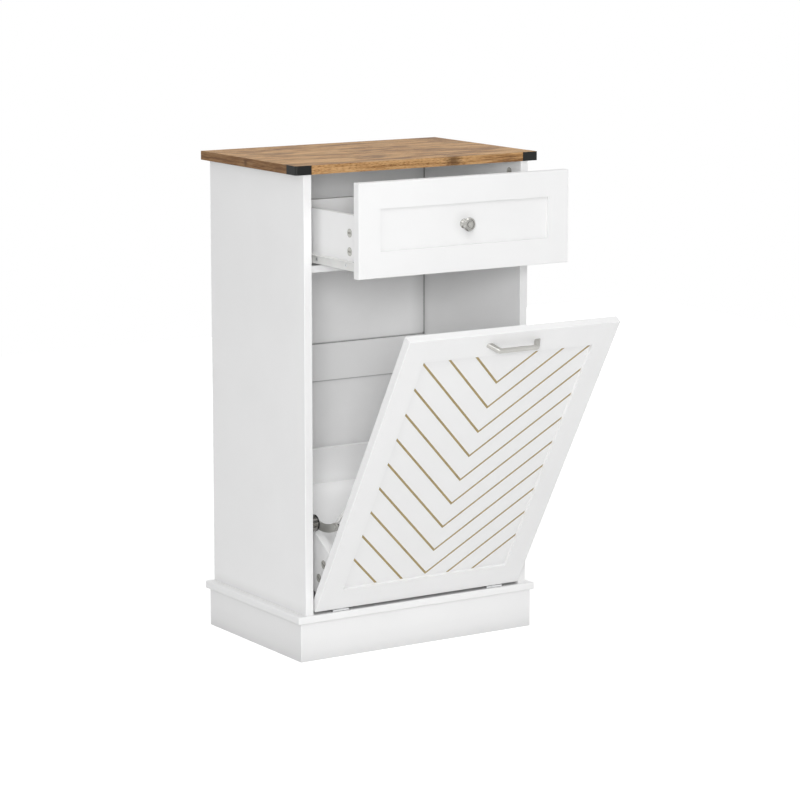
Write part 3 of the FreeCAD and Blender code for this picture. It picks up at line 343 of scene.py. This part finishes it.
def coat(name, base, roughness, grain, relief, ior=1.5, specular=0.5):
    """Material of a coating: grain and relief in millimetres. Its soft clouds are 12 grains wide."""
    material, tree, place = start(name)
    cloud = add(tree, "ShaderNodeTexNoise", {"Vector": place, "Scale": per(12 * grain), "Detail": 3.0})
    tone = add(tree, "ShaderNodeValToRGB", {"Fac": cloud}, stops=shaded(base, 0.96, 1.04))
    grit = add(tree, "ShaderNodeTexNoise", {"Vector": place, "Scale": per(grain), "Detail": 3.0})
    gloss = add(tree, "ShaderNodeMapRange", {
        **OVER_NOISE, "Value": grit, "To Min": roughness - 0.05, "To Max": roughness + 0.05})
    peel = add(tree, "ShaderNodeBump", {"Height": grit, "Distance": relief * MM, "Strength": 0.7})
    surface = add(tree, "ShaderNodeBsdfPrincipled", {
        "Base Color": tone, "Roughness": gloss, "IOR": ior, "Specular IOR Level": specular,
        "Normal": peel})
    add(tree, "ShaderNodeOutputMaterial", {"Surface": surface})
    return material


def metal(name, base, roughness, grain, stretch, relief, metallic=1.0, drift=0.05, groove_shade=0.3, rim_shade=1.0):
    """Material of bare or plated metal: grain and relief in millimetres, stretch draws out the grain."""
    material, tree, place = start(name)
    cloud = add(tree, "ShaderNodeTexNoise", {"Vector": place, "Scale": per(15), "Detail": 3.0})
    tone = add(tree, "ShaderNodeValToRGB", {"Fac": cloud}, stops=shaded(base, 1 - drift, 1 + drift))
    # Grooves and inner corners are painted darker, and so is the rim where a piece is set in a hole:
    # all painted shade. A shade of 1 leaves them unshaded.
    for inside, reach, stop, shade in ((False, 5, 0.9, groove_shade), (True, 1.6, 0.8, rim_shade)):
        if shade < 1.0:
            clear = add(tree, "ShaderNodeAmbientOcclusion", {"Distance": reach * MM}, give="AO",
                        samples=8, only_local=True, inside=inside)
            painted_hollow_shade = add(tree, "ShaderNodeValToRGB", {"Fac": clear},
                          stops=[(0.3, (shade,) * 3), (stop, UNSHADED)])
            tone = add(tree, "ShaderNodeMix", {SHARE: 1.0, FIRST: tone, SECOND: painted_hollow_shade}, **DARKEN)
    drawn = add(tree, "ShaderNodeMapping", {"Vector": place, "Scale": stretch})
    lines = add(tree, "ShaderNodeTexNoise", {"Vector": drawn, "Scale": per(grain), "Detail": 3.0})
    gloss = add(tree, "ShaderNodeMapRange", {
        **OVER_NOISE, "Value": lines, "To Min": roughness - 0.06, "To Max": roughness + 0.06})
    brush = add(tree, "ShaderNodeBump", {"Height": lines, "Distance": relief * MM, "Strength": 0.5})
    surface = add(tree, "ShaderNodeBsdfPrincipled", {
        "Base Color": tone, "Roughness": gloss, "Metallic": metallic, "Normal": brush})
    add(tree, "ShaderNodeOutputMaterial", {"Surface": surface})
    return material


def dress_nodes(material, *names):
    """Puts a material on the CAD nodes of these names."""
    for name in names:
        NODES[name].data.materials[0] = material


def dress(material, slot):
    """Puts a material on every CAD node of a slot."""
    names = [name for name, own in SLOTS.items() if own == slot]
    if not names:
        raise RuntimeError("no node has the slot " + slot)
    dress_nodes(material, *names)


def pick(piece, kind, test):
    """Selects in edit mode the edges or faces that pass a test."""
    bpy.ops.object.mode_set(mode="EDIT")
    bpy.ops.mesh.select_mode(type=kind)
    bpy.ops.mesh.select_all(action="DESELECT")
    bpy.ops.object.mode_set(mode="OBJECT")
    mesh = piece.data
    if kind == "FACE":
        for face in mesh.polygons:
            face.select = test(face.normal)
    else:
        for edge in mesh.edges:
            edge.select = all(test(mesh.vertices[i].co) for i in edge.vertices)
    bpy.ops.object.mode_set(mode="EDIT")


def apply_cut(piece, cutter):
    """Takes the cutter out of the piece and deletes it."""
    cut = piece.modifiers.new("cut", "BOOLEAN")
    cut.object, cut.operation, cut.solver = cutter, "DIFFERENCE", "EXACT"
    bpy.ops.object.select_all(action="DESELECT")
    piece.select_set(True)
    bpy.context.view_layer.objects.active = piece
    bpy.ops.object.modifier_apply(modifier=cut.name)
    bpy.data.objects.remove(cutter)


def screw_head(radius, height, rounding):
    """Models a screw head with a cross recess, at the origin, with its top at z height.

    Its lower half is sunk in what it holds. rounding is the share of its height that is rounded.
    """
    bpy.ops.object.select_all(action="DESELECT")
    bpy.ops.mesh.primitive_cylinder_add(vertices=32, radius=radius, depth=2 * height)
    head = bpy.context.object
    pick(head, "EDGE", lambda end: end.z > 0.9 * height)
    bpy.ops.mesh.bevel(offset=rounding * height, segments=4, profile=0.6)
    bpy.ops.object.mode_set(mode="OBJECT")
    long, wide, deep, taper = 1.1 * radius, 0.24 * radius, 1.1 * height, 0.6
    for turn in (0, 90):
        bpy.ops.object.select_all(action="DESELECT")
        bpy.ops.mesh.primitive_cube_add(size=1, location=(0, 0, height))
        blade = bpy.context.object
        bpy.ops.transform.resize(value=(long, wide, deep))
        blade.rotation_euler.z = math.radians(turn)
        bpy.ops.object.transform_apply(location=True, rotation=True, scale=True)
        pick(blade, "FACE", lambda normal: normal.z < -0.5)
        bpy.ops.transform.resize(value=(taper, taper, 1.0))
        bpy.ops.object.mode_set(mode="OBJECT")
        apply_cut(head, blade)
    bpy.ops.object.shade_smooth_by_angle(angle=math.radians(35))
    return head


def set_screws(head, name, body, places, finish):
    """Copies a screw head to each (point, direction), with a mesh of its own, and puts it on a body."""
    for number, (point, direction) in enumerate(places, 1):
        piece = bpy.data.objects.new(f"{name}_{number}", head.data.copy())
        bpy.context.scene.collection.objects.link(piece)
        turn = Vector(direction).to_track_quat("Z", "Y").to_matrix().to_4x4()
        spin = Matrix.Rotation(SCREW_SPIN * number, 4, "Z")
        piece.data.transform(Matrix.Translation(Vector(point)) @ turn @ spin)
        piece.data.materials.clear()
        piece.data.materials.append(finish)
        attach(piece, body)


def tilt(point):
    """Point of the shut door, carried to where the tilted door has it."""
    axis = Vector(JOINTS["door_tilt"]["pos_m"])
    turn = Matrix.Rotation(-math.radians(min(JOINTS["door_tilt"]["range_deg"])), 4, "X")
    return Matrix.Translation(axis) @ turn @ Matrix.Translation(-axis) @ Vector(point)


class CABINET_OT_boards(bpy.types.Operator):
    """Lacquer the boards, foil the thin panels and face the tray"""

    bl_idname = "cabinet.boards"
    bl_label = "Boards"

    def execute(self, context):
        colours = context.scene.cabinet_colours
        dress(satin_lacquered_mdf("satin_lacquered_mdf", colours.lacquer), "white_board")
        dress(foiled_hardboard(colours.foil), "white_hardboard")
        # Melamine-faced board: pressed, whiter than the lacquer, with the same satin gloss and ripple.
        faced = satin_lacquered_mdf("melamine_faced_board", colours.melamine)
        dress_nodes(faced, "tray_side_left", "tray_side_right", "tray_floor", "tray_back")
        return {"FINISHED"}


class CABINET_OT_worktop(bpy.types.Operator):
    """Print the wood on the top and coat its corner guards"""

    bl_idname = "cabinet.worktop"
    bl_label = "Top and guards"

    def execute(self, context):
        colours = context.scene.cabinet_colours
        dress(printed_wood_foil(colours), "wood_top")
        # Powder-coated steel: near black, dull, with the coat's fine orange-peel. Drawn at 1.5 mm.
        dress(coat("powder_coated_steel", colours.guard, 0.55, 1.5, 0.05, specular=0.3), "black_guard")
        return {"FINISHED"}


class CABINET_OT_gold_lines(bpy.types.Operator):
    """Paint the chevron lines in the door's grooves"""

    bl_idname = "cabinet.gold_lines"
    bl_label = "Chevron lines"

    def execute(self, context):
        gold = context.scene.cabinet_colours.gold
        # Metallic gold paint: flakes in a binder, so half metal, with a sparkle that is drawn at 1 mm.
        dress(metal("metallic_gold_paint", gold, 0.45, 1.0, (1, 1, 1), 0.02, metallic=0.5, drift=0.1),
              "gold_line")
        return {"FINISHED"}


class CABINET_OT_fittings(bpy.types.Operator):
    """Finish the knob, handle, hinges, cams, slides, rollers and stays"""

    bl_idname = "cabinet.fittings"
    bl_label = "Fittings"

    def execute(self, context):
        colours = context.scene.cabinet_colours
        # Brushed satin nickel: the brush runs along the handle. Real lines are 0.1 mm, drawn at 0.7 mm.
        dress(metal("brushed_satin_nickel", colours.nickel, 0.36, 0.7, (0.06, 1, 1), 0.012), "nickel")
        # Turned nickel: smoother, lathe lines too fine to show, with painted shade in grooves and edges.
        turned = metal("turned_nickel", colours.knob, 0.24, 8.0, (1, 1, 1), 0.004, rim_shade=0.45)
        dress_nodes(turned, "drawer_knob")
        # Zinc-plated steel: bright, faintly cloudy.
        dress(metal("zinc_plated_steel", colours.zinc, 0.33, 2.5, (1, 1, 1), 0.01), "zinc_steel")
        # Die-cast zinc alloy: dull grey, sandy skin, with painted shade where its rim meets the hole.
        dress(metal("die_cast_zinc", colours.cam, 0.5, 1.2, (1, 1, 1), 0.03, metallic=0.2, groove_shade=0.75,
                    rim_shade=0.3), "cam_zinc")
        # Nickel-plated pressed steel: a soft shine, with rolling lines along the sheet.
        dress(metal("nickel_plated_steel", colours.stay, 0.4, 1.5, (1, 0.1, 0.1), 0.008, metallic=0.6),
              "stay_steel")
        # Polished nickel: the turned posts, sharper in their reflections than the arms; their colour is
        # painted darker, a painted reflection of the dark case around them.
        polished = metal("polished_nickel", colours.drum_painted_dark, 0.2, 4.0, (1, 1, 1), 0.004)
        dress_nodes(polished, "stay_post_left", "stay_post_right")
        # Epoxy-coated steel sheet: white, smooth, glossier than the boards.
        coated = coat("epoxy_coated_steel", colours.slide, 0.33, 2.0, 0.02)
        dress(coated, "white_slide")
        dress_nodes(coated, "stay_bracket_left", "stay_bracket_right")
        # Moulded nylon: milky, waxy sheen.
        dress(coat("moulded_nylon", colours.roller, 0.42, 1.0, 0.01, ior=1.53), "white_nylon")
        # Black acetal: smooth and a little shiny.
        dress(coat("black_acetal", colours.ring, 0.3, 1.0, 0.01, ior=1.48), "black_ring")
        return {"FINISHED"}


class CABINET_OT_slide_screws(bpy.types.Operator):
    """Set pan-head screws in the drawer slides and flat ones in the case slides"""

    bl_idname = "cabinet.slide_screws"
    bl_label = "Slide screws"

    def execute(self, context):
        sizes, finish = context.scene.cabinet_screws, bpy.data.materials["zinc_plated_steel"]
        pan = screw_head(sizes.slide_radius, sizes.slide_height, 0.55)
        flat = screw_head(sizes.flush_radius, sizes.flush_height, 0.3)
        for side, sign in SIDES.items():
            outer = 0 if sign < 0 else 1
            low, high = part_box(f"slide_drawer_{side}")
            middle = (low.z + high.z) / 2
            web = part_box(f"drawer_side_{side}")[outer].x + sign * SLIDE_SHEET * MM
            places = [((web, low.y + hole * MM, middle), (sign, 0, 0)) for hole in DRAWER_SLIDE_HOLES]
            set_screws(pan, f"slide_screw_{side}", "drawer", places, finish)
            low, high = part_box(f"slide_case_{side}")
            middle = (low.z + high.z) / 2
            web = (low, high)[outer].x - sign * SLIDE_SHEET * MM
            places = [((web, low.y + hole * MM, middle), (-sign, 0, 0)) for hole in CASE_SLIDE_HOLES]
            set_screws(flat, f"case_slide_screw_{side}", "cabinet", places, finish)
        for head in (pan, flat):
            bpy.data.objects.remove(head)
        return {"FINISHED"}


class CABINET_OT_hinge_screws(bpy.types.Operator):
    """Set flat-head screws in the leaves of the hinges"""

    bl_idname = "cabinet.hinge_screws"
    bl_label = "Hinge screws"

    def execute(self, context):
        sizes, finish = context.scene.cabinet_screws, bpy.data.materials["zinc_plated_steel"]
        flat = screw_head(sizes.flush_radius, sizes.flush_height, 0.3)
        on_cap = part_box("base_cap")[1].z + HINGE_LEAF * MM
        under_door = (DOOR_EDGE - HINGE_LEAF) * MM
        down = tilt((0, 0, -1)) - tilt((0, 0, 0))
        for side in SIDES:
            low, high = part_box(f"hinge_case_{side}")
            across = [(low.x + high.x) / 2 + hole * MM for hole in HINGE_HOLES]
            places = [((x, high.y - CASE_LEAF_HOLE * MM, on_cap), (0, 0, 1)) for x in across]
            set_screws(flat, f"hinge_case_screw_{side}", "cabinet", places, finish)
            places = [(tilt((x, low.y + DOOR_LEAF_HOLE * MM, under_door)), down) for x in across]
            set_screws(flat, f"hinge_door_screw_{side}", "door", places, finish)
        bpy.data.objects.remove(flat)
        return {"FINISHED"}


class CABINET_OT_bracket_screws(bpy.types.Operator):
    """Set pan-head screws in the flanges of the stay brackets"""

    bl_idname = "cabinet.bracket_screws"
    bl_label = "Bracket screws"

    def execute(self, context):
        sizes, finish = context.scene.cabinet_screws, bpy.data.materials["zinc_plated_steel"]
        pan = screw_head(sizes.bracket_radius, sizes.bracket_height, 0.5)
        away, rise = (tilt(way) - tilt((0, 0, 0)) for way in ((0, 1, 0), (0, 0, 1)))
        for side in SIDES:
            points = [v.co for v in NODES[f"stay_bracket_{side}"].data.vertices]
            inner = min(abs(p.x) for p in points)
            flange = [p for p in points if abs(p.x) < inner + 0.1 * MM]
            foot, top = min(flange, key=lambda p: p.z), max(flange, key=lambda p: p.z)
            deep = max(flange, key=lambda p: p.dot(away))
            places = []
            for share in BRACKET_SHARES:
                point = foot + (top - foot).dot(rise) * share * rise
                point += away * (deep - point).dot(away)
                point.x = math.copysign(inner + BRACKET_HOLE * MM, foot.x)
                places.append((point, away))
            set_screws(pan, f"bracket_screw_{side}", "door", places, finish)
        bpy.data.objects.remove(pan)
        return {"FINISHED"}


class CABINET_OT_stage(bpy.types.Operator):
    """Lay the floor, light it softly and set the camera at the photograph's view"""

    bl_idname = "cabinet.stage"
    bl_label = "Stage"

    def execute(self, context):
        scene, stage = context.scene, context.scene.cabinet_stage
        self.lay_floor()
        self.fill_world(scene, stage.ambient)
        for name, (place, width) in LIGHTS.items():
            self.hang_light(scene, f"{name}_light", Vector(place), width, getattr(stage, name))
        camera = bpy.data.cameras.new("camera")
        camera.lens, camera.sensor_width, camera.clip_end = stage.lens, SENSOR_WIDTH, FAR
        placed = bpy.data.objects.new("camera", camera)
        placed.location = CAMERA_PLACE
        placed.rotation_euler = (math.radians(90 - CAMERA_DOWN), 0, math.radians(-CAMERA_RIGHT))
        scene.collection.objects.link(placed)
        scene.camera = placed
        scene.view_settings.view_transform = "Standard"
        return {"FINISHED"}

    @staticmethod
    def seen(tree):
        """1 for the rays that show the background: camera, mirror and glass rays."""
        path = add(tree, "ShaderNodeLightPath", give=None)
        either = add(tree, "ShaderNodeMath", {0: path["Is Camera Ray"], 1: path["Is Glossy Ray"]},
                     operation="MAXIMUM")
        return add(tree, "ShaderNodeMath", {0: either, 1: path["Is Transmission Ray"]},
                   operation="MAXIMUM")

    def lay_floor(self):
        """Lays a square floor under the cabinet."""
        bpy.ops.object.select_all(action="DESELECT")
        bpy.ops.mesh.primitive_plane_add(size=FLOOR_WIDTH)
        floor = bpy.context.object
        floor.name = "floor"
        material, tree, place = start("pale_paper_floor")
        # Pale paper sweep: it bounces light as pale grey paper does. Seen, it is lifted to white, less
        # so near the cabinet, where it keeps a faint shadow.
        paper = add(tree, "ShaderNodeBsdfDiffuse", {"Color": (*linear("#EAEAEA"), 1.0)})
        shadow = add(tree, "ShaderNodeBsdfDiffuse", {"Color": (0.4, 0.4, 0.4, 1.0)})
        away = add(tree, "ShaderNodeVectorMath", {0: place}, give="Value", operation="LENGTH")
        raised = add(tree, "ShaderNodeMapRange", {
            "Value": away, "From Min": 0.5, "From Max": 1.5, "To Min": 0.8, "To Max": 1.0})
        lift = add(tree, "ShaderNodeEmission", {"Color": WHITE, "Strength": raised})
        shown = add(tree, "ShaderNodeAddShader", {0: shadow, 1: lift})
        mixed = add(tree, "ShaderNodeMixShader", {0: self.seen(tree), 1: paper, 2: shown})
        add(tree, "ShaderNodeOutputMaterial", {"Surface": mixed})
        floor.data.materials.append(material)

    def fill_world(self, scene, strength):
        """Fills the world with even light, behind a background that is seen as white."""
        world = bpy.data.worlds.new("studio")
        world.use_nodes = True
        tree = world.node_tree
        tree.nodes.clear()
        light = add(tree, "ShaderNodeBackground", {"Color": WHITE, "Strength": strength})
        white = add(tree, "ShaderNodeBackground", {"Color": WHITE, "Strength": 1.0})
        mixed = add(tree, "ShaderNodeMixShader", {0: self.seen(tree), 1: light, 2: white})
        add(tree, "ShaderNodeOutputWorld", {"Surface": mixed})
        scene.world = world

    @staticmethod
    def hang_light(scene, name, place, width, watts):
        """Hangs a round soft light, aimed at the middle of the open cabinet."""
        light = bpy.data.lights.new(name, "AREA")
        light.shape, light.size, light.energy = "DISK", width, watts
        hung = bpy.data.objects.new(name, light)
        hung.location = place
        hung.rotation_euler = (AIM - place).to_track_quat("-Z", "Y").to_euler()
        scene.collection.objects.link(hung)


class VIEW3D_PT_cabinet(bpy.types.Panel):
    """Lists the steps that dress the cabinet"""

    bl_label = "Trash can cabinet"
    bl_idname = "VIEW3D_PT_cabinet"
    bl_space_type = "VIEW_3D"
    bl_region_type = "UI"
    bl_category = "Cabinet"

    def draw(self, context):
        for step in STEPS:
            self.layout.operator(step.bl_idname)
        for name in GROUPS:
            group = getattr(context.scene, name)
            for field in group.__annotations__:
                self.layout.prop(group, field)


STEPS = (CABINET_OT_boards, CABINET_OT_worktop, CABINET_OT_gold_lines, CABINET_OT_fittings,
         CABINET_OT_slide_screws, CABINET_OT_hinge_screws, CABINET_OT_bracket_screws, CABINET_OT_stage)
GROUPS = {"cabinet_colours": CabinetColours, "cabinet_screws": CabinetScrews,
          "cabinet_stage": CabinetStage}


def register():
    for group in GROUPS.values():
        bpy.utils.register_class(group)
    for name, group in GROUPS.items():
        setattr(bpy.types.Scene, name, bpy.props.PointerProperty(type=group))
    for step in (*STEPS, VIEW3D_PT_cabinet):
        bpy.utils.register_class(step)


def unregister():
    for step in (*STEPS, VIEW3D_PT_cabinet):
        bpy.utils.unregister_class(step)
    for name, group in GROUPS.items():
        delattr(bpy.types.Scene, name)
        bpy.utils.unregister_class(group)


def main():
    register()
    bpy.ops.cabinet.boards()
    bpy.ops.cabinet.worktop()
    bpy.ops.cabinet.gold_lines()
    bpy.ops.cabinet.fittings()
    bpy.ops.cabinet.slide_screws()
    bpy.ops.cabinet.hinge_screws()
    bpy.ops.cabinet.bracket_screws()
    bpy.ops.cabinet.stage()


if __name__ == "__main__":
    main()
